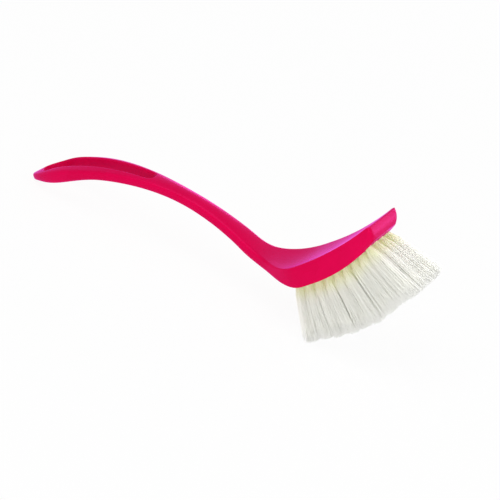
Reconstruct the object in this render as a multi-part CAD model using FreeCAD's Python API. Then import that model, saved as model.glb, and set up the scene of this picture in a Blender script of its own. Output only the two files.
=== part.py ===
import FreeCAD, Part
import math
import os

# Dish brush lying on a table, head forward along +X, bristles down.
# Lengths are in millimetres and angles in degrees.

# Side view: the top edge of the handle is three tangent arcs, from the tail tip to the scraper lip
GRIP_RADIUS = 160.0
GRIP_TURN = 57.9
HEEL_RADIUS = 33.9
HEEL_TURN = 61.1
HEAD_RADIUS = 180.0
HEAD_LENGTH = 57.8

# Widths across the handle, and the places along its top edge that they belong to
TAIL_WIDTH = 27.4
WAIST_WIDTH = 11.6
NECK_WIDTH = 15.6
SHOULDER_WIDTH = 36.0
HEAD_WIDTH = 31.8
TAIL_END_LENGTH = 30.0
WAIST_DISTANCE = 118.0
NECK_REACH = 5.0

# Depths from the top edge down to the underside
TIP_DROP = 1.8
TIP_DEPTH = 5.2
TAIL_DEPTH = 8.5
GRIP_DEPTH = 6.1
NECK_DEPTH = 6.4
HEAD_DEPTH = 11.9
TAIL_DISTANCE = 23.0
GRIP_DISTANCE = 60.0
HEEL_REACH = 14.0

# Slope of a surface where it meets its two edges: positive is crowned, negative is dished
GRIP_CROWN = 20.0
NECK_CROWN = 7.0
DISH_SLOPE = -9.0
LIP_SLOPE = -1.5
UNDERSIDE_CROWN = 14.0

# Rounded edges
TAIL_TOP_ROUND = 3.2
GRIP_TOP_ROUND = 2.2
GRIP_UNDER_ROUND = 2.6
HEEL_UNDER_ROUND = 4.0
RIM_ROUND = 0.6
SLOT_ROUND = 0.9
ROUND_LIMIT_SHARE = 0.8

# Teardrop slot through the tail, wide end towards the tip
SLOT_START = 11.0
SLOT_LENGTH = 79.0
SLOT_TAIL_RADIUS = 8.8
SLOT_NECK_RADIUS = 4.2

# Front of the head: a scraper lip over a bulging face with rounded corners
LIP_ANGLE = 41.9
LIP_ROUND = 2.0
NOSE_BULGE = 3.0
NOSE_HEIGHT = 15.5
LIP_CORNER_RADIUS = 2.0
CHIN_CORNER_RADIUS = 8.0
CORNER_RELIEF = 0.05

# Bristle face and the pattern of its tufts
FACE_RADIUS = 100.0
FACE_TILT = -3.8
ROWS = 4
COLUMNS = 9
ROW_PITCH = 6.9
COLUMN_PITCH = 6.7
ROW_START = 4.5
FAN_ANGLE = 39.0
FAN_LEAN = 14.2
ROW_LEAN = 3.4

# One tuft, its hole and its anchor
TUFT_DIAMETER = 4.2
TIP_DIAMETER = 6.8
REAR_BRISTLE = 34.2
FRONT_BRISTLE = 35.4
HOLE_DEPTH = 6.4
HOLE_CLEARANCE = 0.05
FOLD_DEPTH = 0.7
ANCHOR_THICKNESS = 0.4
ANCHOR_HEIGHT = 1.8
ANCHOR_BITE = 0.3

# Cutting tools run past what they cut by the overrun, and edges that touch do so within the tolerance
OVERRUN = 20.0
TOLERANCE = 0.001

# Where outlines lie: by angle round the tail's end, evenly along the handle, over the lip, down the nose
TAIL_END_ANGLES = (12.0, 26.0, 42.0, 62.0, 90.0)
STATIONS = 28
LIP_SHARES = (-1.5, -0.5, 0.0, 0.5, 0.8, 0.95)
NOSE_SHARES = (0.0, 0.25, 0.5, 0.75, 1.0, 1.25, 1.5)
REST_STEPS = 8

UP = FreeCAD.Vector(0, 0, 1)
ACROSS = FreeCAD.Vector(0, 1, 0)
GRIP_LENGTH = GRIP_RADIUS * math.radians(GRIP_TURN)
HEEL_LENGTH = HEEL_RADIUS * math.radians(HEEL_TURN)
HEAD_START = GRIP_LENGTH + HEEL_LENGTH
LIP_DISTANCE = HEAD_START + HEAD_LENGTH

WIDTHS = ((TAIL_END_LENGTH, TAIL_WIDTH), (WAIST_DISTANCE, WAIST_WIDTH),
          (GRIP_LENGTH + NECK_REACH, NECK_WIDTH), (HEAD_START, SHOULDER_WIDTH),
          (LIP_DISTANCE - NOSE_HEIGHT - CHIN_CORNER_RADIUS, HEAD_WIDTH))
DROPS = ((0, TIP_DROP), (TAIL_END_LENGTH, 0))
DEPTHS = ((0, TIP_DEPTH), (TAIL_DISTANCE, TAIL_DEPTH), (GRIP_DISTANCE, GRIP_DEPTH),
          (GRIP_LENGTH + HEEL_REACH, NECK_DEPTH), (HEAD_START, HEAD_DEPTH))
TOP_SLOPES = ((WAIST_DISTANCE, GRIP_CROWN), (GRIP_LENGTH, NECK_CROWN), (HEAD_START, DISH_SLOPE),
              (LIP_DISTANCE, LIP_SLOPE))
UNDER_SLOPES = ((GRIP_LENGTH, UNDERSIDE_CROWN), (HEAD_START, 0))
TOP_ROUNDS = ((TAIL_DISTANCE, TAIL_TOP_ROUND), (GRIP_LENGTH, GRIP_TOP_ROUND), (HEAD_START, RIM_ROUND))
UNDER_ROUNDS = ((GRIP_LENGTH, GRIP_UNDER_ROUND), (HEAD_START - HEEL_LENGTH / 2, HEEL_UNDER_ROUND),
                (HEAD_START, RIM_ROUND))
CORNER_RADII = ((NOSE_SHARES[0], LIP_CORNER_RADIUS), (1, CHIN_CORNER_RADIUS),
                (NOSE_SHARES[-1], LIP_CORNER_RADIUS))


def value_at(distance, table):
    """Smooth value along the handle through a table of places and sizes, with no overshoot between them."""
    places, sizes = zip(*table)
    if distance <= places[0]:
        return sizes[0]
    if distance >= places[-1]:
        return sizes[-1]
    gaps = [end - start for start, end in zip(places, places[1:])]
    rates = [(end - start) / gap for start, end, gap in zip(sizes, sizes[1:], gaps)]
    slopes = [2 * left * right / (left + right) if left * right > 0 else 0
              for left, right in zip(rates, rates[1:])]
    slopes = [0] + slopes + [0]
    span = max(index for index in range(len(gaps)) if places[index] <= distance)
    share = (distance - places[span]) / gaps[span]
    rise = share ** 2 * (3 - 2 * share)
    leaving = slopes[span] * share * (1 - share) ** 2
    meeting = slopes[span + 1] * share ** 2 * (1 - share)
    return sizes[span] + (sizes[span + 1] - sizes[span]) * rise + gaps[span] * (leaving - meeting)


def seat(distance):
    """Place on the top edge, that far from the tip: X runs along it and Z stands square to it."""
    point = FreeCAD.Vector()
    slope = 0
    arcs = ((-GRIP_RADIUS, GRIP_LENGTH), (HEEL_RADIUS, HEEL_LENGTH), (HEAD_RADIUS, math.inf))
    for radius, length in arcs:
        run = min(distance, length)
        turned = slope + run / radius
        rise = math.cos(slope) - math.cos(turned)
        point += FreeCAD.Vector(radius * (math.sin(turned) - math.sin(slope)), 0, radius * rise)
        slope = turned
        distance -= run
    return FreeCAD.Placement(point, FreeCAD.Rotation(ACROSS, -math.degrees(slope)))


def face_centre():
    """Centre of the arc that the bristle face follows in side view, above the front of the heel."""
    tilt = FreeCAD.Rotation(ACROSS, -FACE_TILT)
    return seat(HEAD_START).multVec(tilt.multVec(UP * FACE_RADIUS) - UP * HEAD_DEPTH)


def depth_at(distance):
    """Depth from the top edge square down to the underside, which in the head is the bristle face."""
    if distance < HEAD_START:
        return value_at(distance, DEPTHS)
    place = seat(distance)
    offset = place.Base - face_centre()
    along = offset.dot(place.Rotation.multVec(-UP))
    return math.sqrt(along ** 2 - offset.dot(offset) + FACE_RADIUS ** 2) - along


def drop_at(distance):
    """Drop of the top below its edge line: a droop at the tail's tip and a round over the lip."""
    over = max(distance - LIP_DISTANCE + LIP_ROUND, 0)
    return value_at(distance, DROPS) + LIP_ROUND - math.sqrt(LIP_ROUND ** 2 - over ** 2)


def section(distance):
    """Closed outline across the handle: eight curves of three points, from the top round the left side."""
    swell = math.sqrt(1 - max(1 - distance / TAIL_END_LENGTH, 0) ** 2)
    half = value_at(distance, WIDTHS) * swell / 2
    drop = drop_at(distance)
    depth = depth_at(distance)
    thinnest = min(half, (depth - drop) / 2)

    def corner(slopes, rounds, level, up):
        """Points of one corner: on the middle line, where the round starts, at its bend and on the side."""
        lean = math.radians(value_at(distance, slopes) * swell)
        radius = min(value_at(distance, rounds), thinnest * ROUND_LIMIT_SHARE)
        start = half - radius * (1 - math.sin(lean))
        height = level - up * radius * (1 - math.cos(lean))
        bend = height - up * (half - start) * math.tan(lean)
        peak = height + up * start * math.tan(lean)
        return [(0, peak), (start, height), (half, bend), (half, level - up * radius)]

    def points(*sided):
        place = seat(distance)
        return [place.multVec(FreeCAD.Vector(0, side * point[0], point[1])) for side, point in sided]

    top = corner(TOP_SLOPES, TOP_ROUNDS, -drop, 1)
    under = corner(UNDER_SLOPES, UNDER_ROUNDS, -depth, -1)
    waist = (half, (top[3][1] + under[3][1]) / 2)
    return [
        points((-1, top[1]), (1, top[0]), (1, top[1])),
        points((1, top[1]), (1, top[2]), (1, top[3])),
        points((1, top[3]), (1, waist), (1, under[3])),
        points((1, under[3]), (1, under[2]), (1, under[1])),
        points((1, under[1]), (1, under[0]), (-1, under[1])),
        points((-1, under[1]), (-1, under[2]), (-1, under[3])),
        points((-1, under[3]), (-1, waist), (-1, top[3])),
        points((-1, top[3]), (-1, top[2]), (-1, top[1])),
    ]


def end_face(outline):
    """Flat face inside one outline of the handle."""
    curves = [Part.BezierCurve() for _ in outline]
    for curve, points in zip(curves, outline):
        curve.setPoles(points)
    return Part.Face(Part.Wire([curve.toShape() for curve in curves]))


def strip(curves, places):
    """Smooth lengthwise skin over one curve of every outline."""
    edges = [Part.BSplineCurve() for _ in curves[0]]
    for edge, points in zip(edges, zip(*curves)):
        edge.interpolate(Points=list(points), Parameters=places)
    skin = Part.BSplineSurface()
    skin.buildFromPolesMultsKnots([edge.getPoles() for edge in edges], [len(edges), len(edges)],
                                  edges[0].getMultiplicities(), [0, 1], edges[0].getKnots(), False, False,
                                  len(edges) - 1, edges[0].Degree)
    return skin.toShape()


def skinned(outlines, places):
    """Solid inside a smooth skin over a row of outlines."""
    faces = [strip(curves, places) for curves in zip(*outlines)]
    shell = Part.makeShell(faces + [end_face(outlines[0]), end_face(outlines[-1])])
    shell.sewShape()
    return Part.makeSolid(shell)


def handle_blank():
    """The handle as one smooth skin, from the small flat at the tail tip over the lip."""
    places = [TAIL_END_LENGTH * (1 - math.cos(math.radians(angle))) for angle in TAIL_END_ANGLES]
    lip_places = [LIP_DISTANCE - LIP_ROUND + LIP_ROUND * share for share in LIP_SHARES]
    reach = lip_places[0] - TAIL_END_LENGTH
    places += [TAIL_END_LENGTH + reach * (step + 1) / STATIONS for step in range(STATIONS)]
    places += lip_places[1:]
    return skinned([section(distance) for distance in places], places)


def slot_tool():
    """Upright teardrop through the tail, square to the grip at its middle."""
    tail = SLOT_TAIL_RADIUS - SLOT_LENGTH / 2
    neck = SLOT_LENGTH / 2 - SLOT_NECK_RADIUS
    lean = math.asin((SLOT_TAIL_RADIUS - SLOT_NECK_RADIUS) / (neck - tail))

    def tangent(centre, radius, side):
        return FreeCAD.Vector(centre + radius * math.sin(lean), side * radius * math.cos(lean), -OVERRUN)

    tail_left, tail_right = (tangent(tail, SLOT_TAIL_RADIUS, side) for side in (1, -1))
    neck_left, neck_right = (tangent(neck, SLOT_NECK_RADIUS, side) for side in (1, -1))
    tail_end = FreeCAD.Vector(tail - SLOT_TAIL_RADIUS, 0, -OVERRUN)
    neck_end = FreeCAD.Vector(neck + SLOT_NECK_RADIUS, 0, -OVERRUN)
    outline = Part.Wire([
        Part.LineSegment(tail_left, neck_left).toShape(),
        Part.Arc(neck_left, neck_end, neck_right).toShape(),
        Part.LineSegment(neck_right, tail_right).toShape(),
        Part.Arc(tail_right, tail_end, tail_left).toShape(),
    ])
    tool = Part.Face(outline).extrude(UP * (2 * OVERRUN))
    tool.Placement = seat(SLOT_START + SLOT_LENGTH / 2)
    return tool


def slot_rims(body, slot):
    """Edges where the slot breaks through the top and the underside of the tail."""
    pull = slot.Placement.Rotation.multVec(UP)
    rims = []
    for edge in body.Edges:
        middle = (edge.FirstParameter + edge.LastParameter) / 2
        touching = slot.distToShape(Part.Vertex(edge.valueAt(middle)))[0] < TOLERANCE
        if touching and abs(edge.tangentAt(middle).dot(pull)) < math.sin(math.pi / 4):
            rims.append(edge)
    return rims


def nose_outline(share):
    """Level outline of the head that far down its front: a bulging front and two rounded corners."""
    height = -NOSE_HEIGHT * share
    past = max(share - 1, 0)
    front = 4 * NOSE_BULGE * (min(share, 1) * (1 - min(share, 1)) - past * (1 - past))
    radius = value_at(share, CORNER_RADII)
    half = HEAD_WIDTH / 2 + CORNER_RELIEF
    back = front - radius
    inner = half - radius
    splay = half + OVERRUN
    rear = back - OVERRUN
    corners = [(rear, splay), (back, half), (front, half), (front, inner),
               (front, -inner), (front, -half), (back, -half), (rear, -splay)]
    rear_left, left, left_bend, front_left, front_right, right_bend, right, rear_right = (
        FreeCAD.Vector(along, across, height) for along, across in corners)

    def line(start, end):
        return [start, (start + end) / 2, end]

    return [line(rear_left, left), [left, left_bend, front_left], line(front_left, front_right),
            [front_right, right_bend, right], line(right, rear_right), line(rear_right, rear_left)]


def nose_waste():
    """What is cut off the front of the head to leave the bulging face and its corners."""
    face = skinned([nose_outline(share) for share in NOSE_SHARES], list(NOSE_SHARES))
    depth = NOSE_HEIGHT * NOSE_SHARES[-1]
    corner = FreeCAD.Vector(-OVERRUN, -HEAD_WIDTH, -depth)
    block = Part.makeBox(2 * OVERRUN, 2 * HEAD_WIDTH, depth + OVERRUN, corner)
    waste = block.cut(face)
    lean = FreeCAD.Placement(FreeCAD.Vector(), FreeCAD.Rotation(ACROSS, 90 - LIP_ANGLE))
    waste.Placement = seat(LIP_DISTANCE).multiply(lean)
    return waste


def tuft_seat(row, column):
    """Place of a tuft: its origin on the bristle face and Z out along the bristles."""
    start = math.radians(HEEL_TURN - GRIP_TURN + FACE_TILT) - ROW_START / FACE_RADIUS
    step = COLUMN_PITCH / FACE_RADIUS
    angle = start + step * column
    share = column / (COLUMNS - 1) - 1 / 2
    lean = FAN_LEAN + FAN_ANGLE * share
    side = row - (ROWS - 1) / 2
    drop = FreeCAD.Vector(FACE_RADIUS * math.sin(angle), ROW_PITCH * side, -FACE_RADIUS * math.cos(angle))
    outward = FreeCAD.Rotation(ACROSS, 180 - lean)
    sideways = FreeCAD.Rotation(FreeCAD.Vector(1, 0, 0), -ROW_LEAN * side)
    return FreeCAD.Placement(face_centre() + drop, outward.multiply(sideways))


def tuft(column):
    """One bundle of bristles: a stem that fills its hole, then a slightly spreading brush of filaments."""
    length = REAR_BRISTLE + (FRONT_BRISTLE - REAR_BRISTLE) * column / (COLUMNS - 1)
    profile = [(0, -HOLE_DEPTH), (TUFT_DIAMETER / 2, -HOLE_DEPTH), (TUFT_DIAMETER / 2, 0),
               (TIP_DIAMETER / 2, length), (0, length), (0, -HOLE_DEPTH)]
    outline = Part.makePolygon([FreeCAD.Vector(radius, 0, height) for radius, height in profile])
    return Part.Face(outline).revolve(FreeCAD.Vector(), UP, 360).cut(anchor())


def hole():
    """Blind hole for one tuft, with the slit that its anchor bites into the wall."""
    radius = TUFT_DIAMETER / 2 + HOLE_CLEARANCE
    mouth = Part.makeCylinder(radius, HOLE_DEPTH + TUFT_DIAMETER, UP * -HOLE_DEPTH)
    return mouth.fuse(anchor())


def anchor():
    """Flat wire across the bottom of a hole, longer than the hole is wide."""
    length = TUFT_DIAMETER + 2 * (HOLE_CLEARANCE + ANCHOR_BITE)
    corner = FreeCAD.Vector(-ANCHOR_THICKNESS / 2, -length / 2, FOLD_DEPTH - HOLE_DEPTH)
    return Part.makeBox(ANCHOR_THICKNESS, length, ANCHOR_HEIGHT, corner)


def placed(shape, place):
    """Copy of a shape at a place."""
    copy = shape.copy()
    copy.Placement = place.multiply(copy.Placement)
    return copy


def handle(seats):
    """The moulded handle and head, with its slot, its nose and its tuft holes."""
    slot = slot_tool()
    body = handle_blank().cut(slot)
    body = body.makeFillet(SLOT_ROUND, slot_rims(body, slot))
    body = body.cut(nose_waste())
    return body.cut([placed(hole(), place) for place in seats])


def resting_turn(body, tufts):
    """Turn about Y, in degrees, that lays the tail and the bristle tips on one level."""
    tail_points = [point for point in body.tessellate(HOLE_CLEARANCE)[0] if point.x < WAIST_DISTANCE]
    tip_points = [point for tuft in tufts for point in tuft.tessellate(HOLE_CLEARANCE)[0]]
    turn = 0
    for _ in range(REST_STEPS):
        rotation = FreeCAD.Rotation(ACROSS, -turn)
        tail, tip = (min(points, key=lambda point: rotation.multVec(point).z)
                     for points in (tail_points, tip_points))
        turn = math.degrees(math.atan2(tail.z - tip.z, tip.x - tail.x))
    return turn


def brush():
    """Every node by its name, lying on the table with the middle of its footprint at the origin."""
    seats = {(row, column): tuft_seat(row, column) for row in range(ROWS) for column in range(COLUMNS)}
    nodes = {"handle": handle(seats.values())}
    nodes["tuft_anchors"] = Part.makeCompound([placed(anchor(), place) for place in seats.values()])
    tufts = {f"tuft_{row + 1}_{column + 1}": placed(tuft(column), place)
             for (row, column), place in seats.items()}
    turn = resting_turn(nodes["handle"], tufts.values())
    nodes.update(tufts)
    lying = FreeCAD.Placement(FreeCAD.Vector(), FreeCAD.Rotation(ACROSS, -turn))
    nodes = {name: placed(shape, lying) for name, shape in nodes.items()}
    box = FreeCAD.BoundBox()
    for shape in nodes.values():
        box.add(shape.optimalBoundingBox())
    shift = FreeCAD.Placement(FreeCAD.Vector(-box.Center.x, -box.Center.y, -box.ZMin), FreeCAD.Rotation())
    return {name: placed(shape, shift) for name, shape in nodes.items()}


if __name__ == "__main__":
    os.makedirs("parts", exist_ok=True)
    for name, shape in brush().items():
        shape.exportStep(f"parts/{name}.step")
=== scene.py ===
import math
import random

import bpy
import numpy as np
from mathutils import Euler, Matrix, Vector


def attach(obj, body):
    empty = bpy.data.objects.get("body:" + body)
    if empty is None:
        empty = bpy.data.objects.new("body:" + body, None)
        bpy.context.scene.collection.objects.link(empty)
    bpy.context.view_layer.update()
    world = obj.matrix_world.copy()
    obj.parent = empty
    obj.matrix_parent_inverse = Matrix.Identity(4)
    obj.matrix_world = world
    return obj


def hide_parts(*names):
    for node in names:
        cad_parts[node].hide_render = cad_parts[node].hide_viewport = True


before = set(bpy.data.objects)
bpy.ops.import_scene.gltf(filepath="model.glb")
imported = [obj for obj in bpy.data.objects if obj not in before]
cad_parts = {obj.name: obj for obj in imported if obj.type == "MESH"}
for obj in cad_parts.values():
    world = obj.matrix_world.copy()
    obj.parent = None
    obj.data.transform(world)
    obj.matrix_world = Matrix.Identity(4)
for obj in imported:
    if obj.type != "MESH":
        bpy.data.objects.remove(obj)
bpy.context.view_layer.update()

# Dish brush lying on a pale floor.
# Lengths are in metres, the lens is in millimetres, colours are linear and lamp powers are in watts.

# Camera: its place, the point it looks at, its roll and its lens
CAMERA_PLACE = (0.36087, -0.77695, 0.55776)
CAMERA_TARGET = (0.02199, -0.00009, 0.02705)
CAMERA_ROLL = math.radians(15.461)
CAMERA_LENS = 126.72
SENSOR_WIDTH = 36.0

# Floor and the light from all round; both look white where they are seen straight or in a reflection
FLOOR_SIZE = 12.0
FLOOR_GREY = (0.9, 0.9, 0.9)
FLOOR_WHITE_SHARE = 0.93
WHITE = (1.0, 1.0, 1.0)
WORLD_STRENGTH = 0.48

# Soft lamps: name, place, target, width, height and power
SOFTBOXES = (
    ("key_softbox", (-0.2, -0.5, 1.3), (0, 0, 0.04), 0.9, 0.9, 7.0),
    ("side_softbox", (1.1, -0.3, 0.6), (0, 0, 0.04), 0.8, 0.8, 3.0),
    ("front_softbox", (0.4, -1.15, 0.26), (0, 0, 0.04), 0.9, 0.45, 4.2),
    ("back_softbox", (0.35, 1.3, 0.28), (0, 0, 0.05), 2.4, 0.5, 11.5),
)
LIGHT_BOUNCES = 32

# Pink plastic: two close pinks, a tinted gloss that is weak where seen square on, and fine surface marks
PINK_DEEP = (0.63, 0.0003, 0.053)
PINK_LIGHT = (0.68, 0.0005, 0.062)
PINK_ROUGHNESS = 0.5
GLOSS_TINT = (0.97, 0.20, 0.90)
GLOSS_IOR = 1.50
GLOSS_TRIM = 0.028
GLOSS_ROUGHNESS = 0.24
FLOW_SCALE = 45.0
FLOW_RANGE = (0.3, 0.7)
FLOW_ROUGHNESS = 0.08
FLOW_RELIEF_SHARE = 0.5
PEEL_SCALE = 900.0
PEEL_DEPTH = 0.00002
SCUFF_SCALE = 1400.0
SCUFF_RANGE = (0.60, 0.72)
SCUFF_ROUGHNESS = 0.10

# Nylon: body and root colours, the light that passes through each, and faint painted light glowing at the
# root that lifts the shade between tufts
NYLON_BODY = (0.985, 0.985, 0.965)
NYLON_ROOT = (0.97, 0.975, 0.80)
NYLON_DULL = (0.95, 0.95, 0.92)
BODY_LIGHT = (0.994, 0.994, 0.982)
ROOT_LIGHT = (0.992, 0.998, 0.93)
ROOT_PAINTED_LIGHT = (0.77, 0.78, 0.45)
BODY_LIGHT_SHARE = 0.88
ROOT_LIGHT_SHARE = 0.8
ROOT_PAINTED_LIGHT_SHARE = 0.09
ROOT_FADE = (0.14, 0.46)
NYLON_ROUGHNESS = 0.38
NYLON_SPECULAR = 0.35
STRAND_DULLING = 0.3
STRAND_ROUGHNESS = 0.12

# Brass wire
BRASS_DARK = (0.70, 0.52, 0.22)
BRASS_LIGHT = (0.82, 0.66, 0.34)
BRASS_ROUGHNESS = 0.28
DRAWN_SCALE = 2500.0
DRAWN_ROUGHNESS = 0.12

# One filament, and how many make a tuft
FILAMENT_DIAMETER = 0.00030
FILAMENT_SIDES = 5
FILAMENT_RINGS = 6
FILAMENTS_PER_TUFT = 170
GOLDEN_ANGLE = math.pi * (3 - math.sqrt(5))
TURN_JITTER = 0.25

# The tufts and their holes
ROWS = 4
COLUMNS = 9
HOLE_DEPTH = 0.0064
ROOT_DEPTH = 0.0039
TUFT_RADIUS = 0.00205
ROOT_PINCH = 0.95
END_EDGE_SHARE = 0.002
DRAW_SEED = 36

# How filaments splay: their reach at the tip towards a neighbour and at the outside of the brush
INNER_REACH_ALONG = 0.0051
INNER_REACH_ACROSS = 0.0052
OUTER_REACH = 0.0033
TIP_SQUARE = 0.7
TIP_SCATTER = 0.0006
SPLAY_POWER = 0.38
BOW = 0.00035
STRAY_SHARE = 0.012
STRAY_REACH = 0.003

# How tips are cut: domed, tilted and ragged, in tufts that differ less in length at the two ends
INNER_DOME = 0.0050
OUTER_DOME = 0.0001
DOME_POWER = 3
TIP_TILT = 0.0012
TIP_RAGGED = 0.0003
LENGTH_SPREAD = 0.0013
END_EVENNESS = 0.2
FRONT_EXTRA = 0.0011


class Value:
    """One number of a finish; sums of values become Math nodes."""

    def __init__(self, finish, socket):
        self.finish = finish
        self.socket = socket

    def sum(self, operation, first, second):
        return self.finish.node("ShaderNodeMath", {"operation": operation}, {0: first, 1: second})

    def __add__(self, other):
        return self.sum("ADD", self, other)

    def __radd__(self, other):
        return self.sum("ADD", other, self)

    def __sub__(self, other):
        return self.sum("SUBTRACT", self, other)

    def __rsub__(self, other):
        return self.sum("SUBTRACT", other, self)

    def __mul__(self, other):
        return self.sum("MULTIPLY", self, other)

    def __rmul__(self, other):
        return self.sum("MULTIPLY", other, self)


class Finish:
    """A material or world built from nodes around one shader."""

    def __init__(self, name, kind="materials", shader="Principled BSDF"):
        self.material = getattr(bpy.data, kind).new(name)
        self.material.use_nodes = True
        self.tree = self.material.node_tree
        self.shader = self.tree.nodes[shader]
        self.surface = Value(self, self.shader.outputs[0])

    def node(self, kind, settings=None, sockets=None, output=0):
        """Add a node, set it, feed its sockets and give one of its outputs."""
        made = self.tree.nodes.new(kind)
        for name, value in (settings or {}).items():
            setattr(made, name, value)
        for name, value in (sockets or {}).items():
            self.feed(made.inputs[name], value)
        return Value(self, made.outputs[output])

    def feed(self, socket, value):
        """Link a value to a socket, or set the socket's own number or colour."""
        if isinstance(value, Value):
            self.tree.links.new(value.socket, socket)
        elif socket.type == "RGBA" and len(value) == 3:
            socket.default_value = (*value, 1.0)
        else:
            socket.default_value = value

    def shade(self, **sockets):
        """Feed the shader, with its socket names in lower case."""
        for name, value in sockets.items():
            self.feed(self.shader.inputs[name.replace("_", " ").title().replace("Ior", "IOR")], value)

    def layer(self, share, kind, sockets):
        """Mix another shader over the surface by a share, and show the mix."""
        over = self.node(kind, {}, sockets)
        self.surface = self.node("ShaderNodeMixShader", {}, {0: share, 1: self.surface, 2: over})
        self.feed(self.tree.nodes["Material Output"].inputs["Surface"], self.surface)

    def seen(self):
        """1 for light that reaches the eye straight, by a reflection or through something clear."""
        path = self.tree.nodes.new("ShaderNodeLightPath")
        straight, mirrored, through = (Value(self, path.outputs[name]) for name in (
            "Is Camera Ray", "Is Glossy Ray", "Is Transmission Ray"))
        return straight + mirrored + through

    def noise(self, scale, detail=3.0, roughness=0.5, distortion=0.0):
        """Soft noise over the brush, of that many waves to the metre."""
        place = self.node("ShaderNodeTexCoord", output="Object")
        return self.node("ShaderNodeTexNoise", {"noise_dimensions": "3D"},
                         {"Vector": place, "Scale": scale, "Detail": detail,
                          "Roughness": roughness, "Distortion": distortion})

    def between(self, value, low, high):
        """Share, from 0 to 1, that a value has gone from low to high."""
        return self.node("ShaderNodeMapRange", {"interpolation_type": "SMOOTHSTEP"},
                         {"Value": value, "From Min": low, "From Max": high})

    def blend(self, share, first, second):
        """Colour between two colours."""
        return self.node("ShaderNodeMix", {"data_type": "RGBA"},
                         {"Factor": share, 6: first, 7: second}, output=2)

    def attribute(self, name):
        """A number stored on the points of a piece."""
        return self.node("ShaderNodeAttribute", {"attribute_name": name}, output="Fac")

    def relief(self, height, distance):
        """Bump of that depth in metres."""
        return self.node("ShaderNodeBump", {}, {"Height": height, "Distance": distance, "Strength": 1.0})


def pink_plastic():
    """Glossy moulded polypropylene, with faint flow marks, an orange-peel skin and wiped scuffs."""
    finish = Finish("pink_plastic")
    flow = finish.noise(FLOW_SCALE, detail=4.0, distortion=0.6)
    peel = finish.noise(PEEL_SCALE, detail=2.0)
    scuff = finish.between(finish.noise(SCUFF_SCALE, detail=4.0, roughness=0.7), *SCUFF_RANGE)
    colour = finish.blend(finish.between(flow, *FLOW_RANGE), PINK_DEEP, PINK_LIGHT)
    skin = finish.relief(peel + flow * FLOW_RELIEF_SHARE, PEEL_DEPTH)
    finish.shade(base_color=colour, roughness=PINK_ROUGHNESS, normal=skin, specular_ior_level=0.0)
    gloss = finish.node("ShaderNodeFresnel", {}, {"IOR": GLOSS_IOR, "Normal": skin}) - GLOSS_TRIM
    roughness = GLOSS_ROUGHNESS + flow * FLOW_ROUGHNESS + scuff * SCUFF_ROUGHNESS
    finish.layer(gloss, "ShaderNodeBsdfGlossy", {"Color": GLOSS_TINT, "Roughness": roughness, "Normal": skin})
    return finish.material


def nylon():
    """Off-white nylon filaments that carry light down to their creamy roots, where a faint painted glow lifts
    the shade between tufts.
    """
    finish = Finish("nylon_filament")
    along = finish.attribute("along")
    strand = finish.attribute("strand")
    root = 1 - finish.between(along, *ROOT_FADE)
    tone = finish.blend(root, NYLON_BODY, NYLON_ROOT)
    colour = finish.blend(strand * STRAND_DULLING, tone, NYLON_DULL)
    roughness = NYLON_ROUGHNESS + strand * STRAND_ROUGHNESS
    finish.shade(base_color=colour, roughness=roughness, specular_ior_level=NYLON_SPECULAR)
    finish.layer(BODY_LIGHT_SHARE, "ShaderNodeBsdfTranslucent", {"Color": BODY_LIGHT})
    finish.layer(root * ROOT_LIGHT_SHARE, "ShaderNodeBsdfTranslucent", {"Color": ROOT_LIGHT})
    # Painted light: the roots glow faintly, which lifts the shade in the gaps between tufts
    finish.layer(root * ROOT_PAINTED_LIGHT_SHARE, "ShaderNodeEmission", {"Color": ROOT_PAINTED_LIGHT, "Strength": 1.0})
    finish.material.cycles.emission_sampling = "NONE"
    return finish.material


def brass_wire():
    """Flat brass wire, lightly drawn."""
    finish = Finish("brass_wire")
    drawn = finish.noise(DRAWN_SCALE, detail=2.0)
    colour = finish.blend(drawn, BRASS_DARK, BRASS_LIGHT)
    finish.shade(base_color=colour, metallic=1.0, roughness=BRASS_ROUGHNESS + drawn * DRAWN_ROUGHNESS)
    return finish.material


def tuft_axis(node):
    """Root end and tip end of a tuft's middle line, from its solid."""
    points = np.array([vertex.co for vertex in node.data.vertices])
    middle = points.mean(axis=0)
    axis = np.linalg.svd(points - middle, full_matrices=False)[2][0]
    reach = (points - middle) @ axis
    edge = (reach.max() - reach.min()) * END_EDGE_SHARE
    ends = [points[reach < reach.min() + edge], points[reach > reach.max() - edge]]
    centres = [(end.min(axis=0) + end.max(axis=0)) / 2 for end in ends]
    spreads = [np.linalg.norm(end - centre, axis=1).max() for end, centre in zip(ends, centres)]
    root, tip = sorted(range(2), key=lambda index: spreads[index])
    return Vector(centres[root]), Vector(centres[tip])


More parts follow.
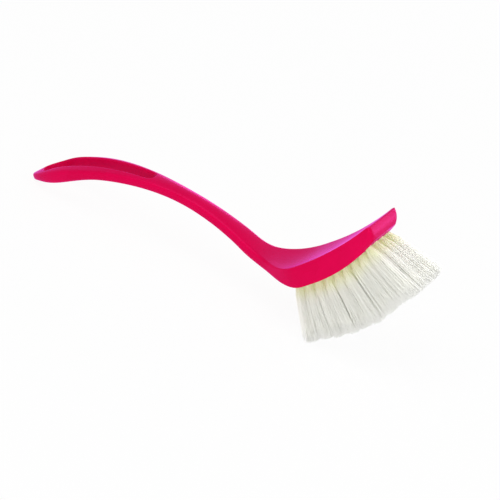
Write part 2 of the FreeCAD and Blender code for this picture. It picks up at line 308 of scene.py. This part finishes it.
class Tuft:
    """Where a tuft stands, its length, and how its filaments splay and are cut on each side."""

    def __init__(self, node, row, column, draw):
        root, tip = tuft_axis(node)
        self.axis = (tip - root).normalized()
        self.along = Vector((0, 1, 0)).cross(self.axis).normalized()
        self.across = self.axis.cross(self.along)
        if self.along.x < 0:
            self.along, self.across = -self.along, -self.across
        self.start = root + self.axis * (HOLE_DEPTH - ROOT_DEPTH)
        uneven = END_EVENNESS if column in (1, COLUMNS) else 1
        self.length = (tip - root).length - HOLE_DEPTH + draw.uniform(-LENGTH_SPREAD, LENGTH_SPREAD) * uneven
        if column == COLUMNS:
            self.length += FRONT_EXTRA
        self.tilt = draw.uniform(-TIP_TILT, TIP_TILT) * uneven
        outer = (OUTER_REACH, OUTER_DOME)
        self.front = outer if column == COLUMNS else (INNER_REACH_ALONG, INNER_DOME)
        self.rear = outer if column == 1 else (INNER_REACH_ALONG, INNER_DOME)
        self.left = outer if row == ROWS else (INNER_REACH_ACROSS, INNER_DOME)
        self.right = outer if row == 1 else (INNER_REACH_ACROSS, INNER_DOME)

    def shift(self, along, across):
        """Step sideways from the middle line, along the brush and across it."""
        return self.along * along + self.across * across

    def filament(self, index, draw):
        """Points of one filament's middle line, from its root in the hole to its cut tip."""
        radius = math.sqrt((index + 0.5) / FILAMENTS_PER_TUFT)
        angle = index * GOLDEN_ANGLE + draw.uniform(-TURN_JITTER, TURN_JITTER)
        x, y = radius * math.cos(angle), radius * math.sin(angle)
        fill = 1 + TIP_SQUARE * (1 / max(abs(math.cos(angle)), abs(math.sin(angle))) - 1)
        reach_x, dome_x = self.front if x > 0 else self.rear
        reach_y, dome_y = self.left if y > 0 else self.right
        base = self.shift(x * TUFT_RADIUS, y * TUFT_RADIUS)
        end = self.shift(x * reach_x * fill, y * reach_y * fill)
        end += self.shift(draw.gauss(0, TIP_SCATTER), draw.gauss(0, TIP_SCATTER))
        bow = self.shift(draw.gauss(0, BOW), draw.gauss(0, BOW))
        if draw.random() < STRAY_SHARE:
            end += self.shift(draw.uniform(-STRAY_REACH, STRAY_REACH),
                              draw.uniform(-STRAY_REACH, STRAY_REACH))
        cut = self.length + self.tilt * x - dome_x * abs(x) ** DOME_POWER - dome_y * abs(y) ** DOME_POWER
        cut -= abs(draw.gauss(0, TIP_RAGGED))
        points = [self.start + base * ROOT_PINCH]
        for ring in range(FILAMENT_RINGS):
            share = ring / (FILAMENT_RINGS - 1)
            spread = base.lerp(end, share ** SPLAY_POWER)
            height = self.axis * (ROOT_DEPTH + cut * share)
            point = self.start + height + spread + bow * math.sin(math.pi * share)
            point.z = max(point.z, FILAMENT_DIAMETER)
            points.append(point)
        return points


def model_filament():
    """One straight filament of unit length on the Z axis, as rings of points and the faces between them."""
    bpy.ops.object.select_all(action="DESELECT")
    bpy.ops.mesh.primitive_cylinder_add(vertices=FILAMENT_SIDES, radius=FILAMENT_DIAMETER / 2, depth=1.0,
                                        location=(0, 0, 0.5), end_fill_type="NGON")
    piece = bpy.context.object
    bpy.ops.object.transform_apply(location=True)
    bpy.ops.object.mode_set(mode="EDIT")
    for ring in range(1, FILAMENT_RINGS):
        bpy.ops.mesh.select_all(action="SELECT")
        bpy.ops.mesh.bisect(plane_co=(0, 0, ring / FILAMENT_RINGS), plane_no=(0, 0, 1))
    bpy.ops.object.mode_set(mode="OBJECT")
    return piece


def plant_tuft(name, tuft, filament, draw):
    """Tuft of separate filaments that stands for one solid tuft."""
    shape = filament.data
    local = np.array([vertex.co for vertex in shape.vertices])
    rings = np.rint(local[:, 2] * FILAMENT_RINGS).astype(int)
    faces = [list(face.vertices) for face in shape.polygons]
    paths = [tuft.filament(index, draw) for index in range(FILAMENTS_PER_TUFT)]
    points, polygons, alongs, strands = [], [], [], []
    for path in paths:
        first = len(points)
        strand = draw.random()
        for (x, y, _), ring in zip(local, rings):
            ahead = path[min(ring + 1, FILAMENT_RINGS)] - path[max(ring - 1, 0)]
            side = ahead.cross(Vector((0, 1, 0))).normalized()
            other = ahead.normalized().cross(side)
            points.append(path[ring] + side * x + other * y)
            alongs.append(ring / FILAMENT_RINGS)
            strands.append(strand)
        polygons += [[first + corner for corner in face] for face in faces]
    mesh = bpy.data.meshes.new(name)
    mesh.from_pydata(points, [], polygons)
    for label, values in (("along", alongs), ("strand", strands)):
        mesh.attributes.new(label, "FLOAT", "POINT").data.foreach_set("value", values)
    piece = bpy.data.objects.new(name, mesh)
    bpy.context.collection.objects.link(piece)
    mesh.shade_smooth()
    return piece


def plant_bristles():
    """Every tuft of the brush, each on its own solid's place."""
    draw = random.Random(DRAW_SEED)
    filament = model_filament()
    finish = nylon()
    for row in range(1, ROWS + 1):
        for column in range(1, COLUMNS + 1):
            node = f"tuft_{row}_{column}"
            tuft = Tuft(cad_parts[node], row, column, draw)
            piece = plant_tuft(f"bristles_{row}_{column}", tuft, filament, draw)
            piece.data.materials.append(finish)
            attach(piece, "root")
            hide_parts(node)
    bpy.data.objects.remove(filament)


def cover(node, finish):
    """Give a solid its finish."""
    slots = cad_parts[node].data.materials
    slots.clear()
    slots.append(finish)


def lay_floor():
    """Pale floor that looks white to the eye and in reflections, and keeps the shadow."""
    bpy.ops.object.select_all(action="DESELECT")
    bpy.ops.mesh.primitive_plane_add(size=FLOOR_SIZE, location=(0, 0, 0))
    floor = bpy.context.object
    floor.name = "floor"
    finish = Finish("white_floor")
    finish.shade(base_color=FLOOR_GREY, roughness=1.0, specular_ior_level=0.0)
    share = finish.node("ShaderNodeMath", {"operation": "MULTIPLY", "use_clamp": True},
                        {0: finish.seen(), 1: FLOOR_WHITE_SHARE})
    finish.layer(share, "ShaderNodeEmission", {"Color": WHITE, "Strength": 1.0})
    finish.material.cycles.emission_sampling = "NONE"
    floor.data.materials.append(finish.material)


def light_world():
    """Even pale light from all round, which looks white to the eye and in reflections."""
    finish = Finish("studio", "worlds", "Background")
    finish.shade(color=WHITE, strength=WORLD_STRENGTH + (1 - WORLD_STRENGTH) * finish.seen())
    bpy.context.scene.world = finish.material


def hang_softbox(name, place, target, width, height, power):
    """Soft oblong lamp that faces a point."""
    lamp = bpy.data.lights.new(name, "AREA")
    lamp.shape = "RECTANGLE"
    lamp.size = width
    lamp.size_y = height
    lamp.energy = power
    box = bpy.data.objects.new(name, lamp)
    box.location = place
    box.rotation_euler = (Vector(target) - Vector(place)).to_track_quat("-Z", "Y").to_euler()
    box.visible_camera = False
    bpy.context.collection.objects.link(box)


def set_camera():
    """Camera at the photograph's angle."""
    lens = bpy.data.cameras.new("camera")
    lens.lens = CAMERA_LENS
    lens.sensor_width = SENSOR_WIDTH
    lens.sensor_fit = "HORIZONTAL"
    camera = bpy.data.objects.new("camera", lens)
    facing = (Vector(CAMERA_TARGET) - Vector(CAMERA_PLACE)).to_track_quat("-Z", "Y")
    roll = Euler((0, 0, CAMERA_ROLL)).to_quaternion()
    camera.location = CAMERA_PLACE
    camera.rotation_euler = (facing @ roll).to_euler()
    bpy.context.collection.objects.link(camera)
    bpy.context.scene.camera = camera


def set_light_paths():
    """Let light cross the many filaments of the bristles before it is lost."""
    cycles = bpy.context.scene.cycles
    cycles.max_bounces = LIGHT_BOUNCES
    cycles.diffuse_bounces = LIGHT_BOUNCES
    cycles.transmission_bounces = LIGHT_BOUNCES


set_camera()
light_world()
lay_floor()
for softbox in SOFTBOXES:
    hang_softbox(*softbox)
cover("handle", pink_plastic())
cover("tuft_anchors", brass_wire())
plant_bristles()
bpy.context.scene.view_settings.view_transform = "Standard"
set_light_paths()
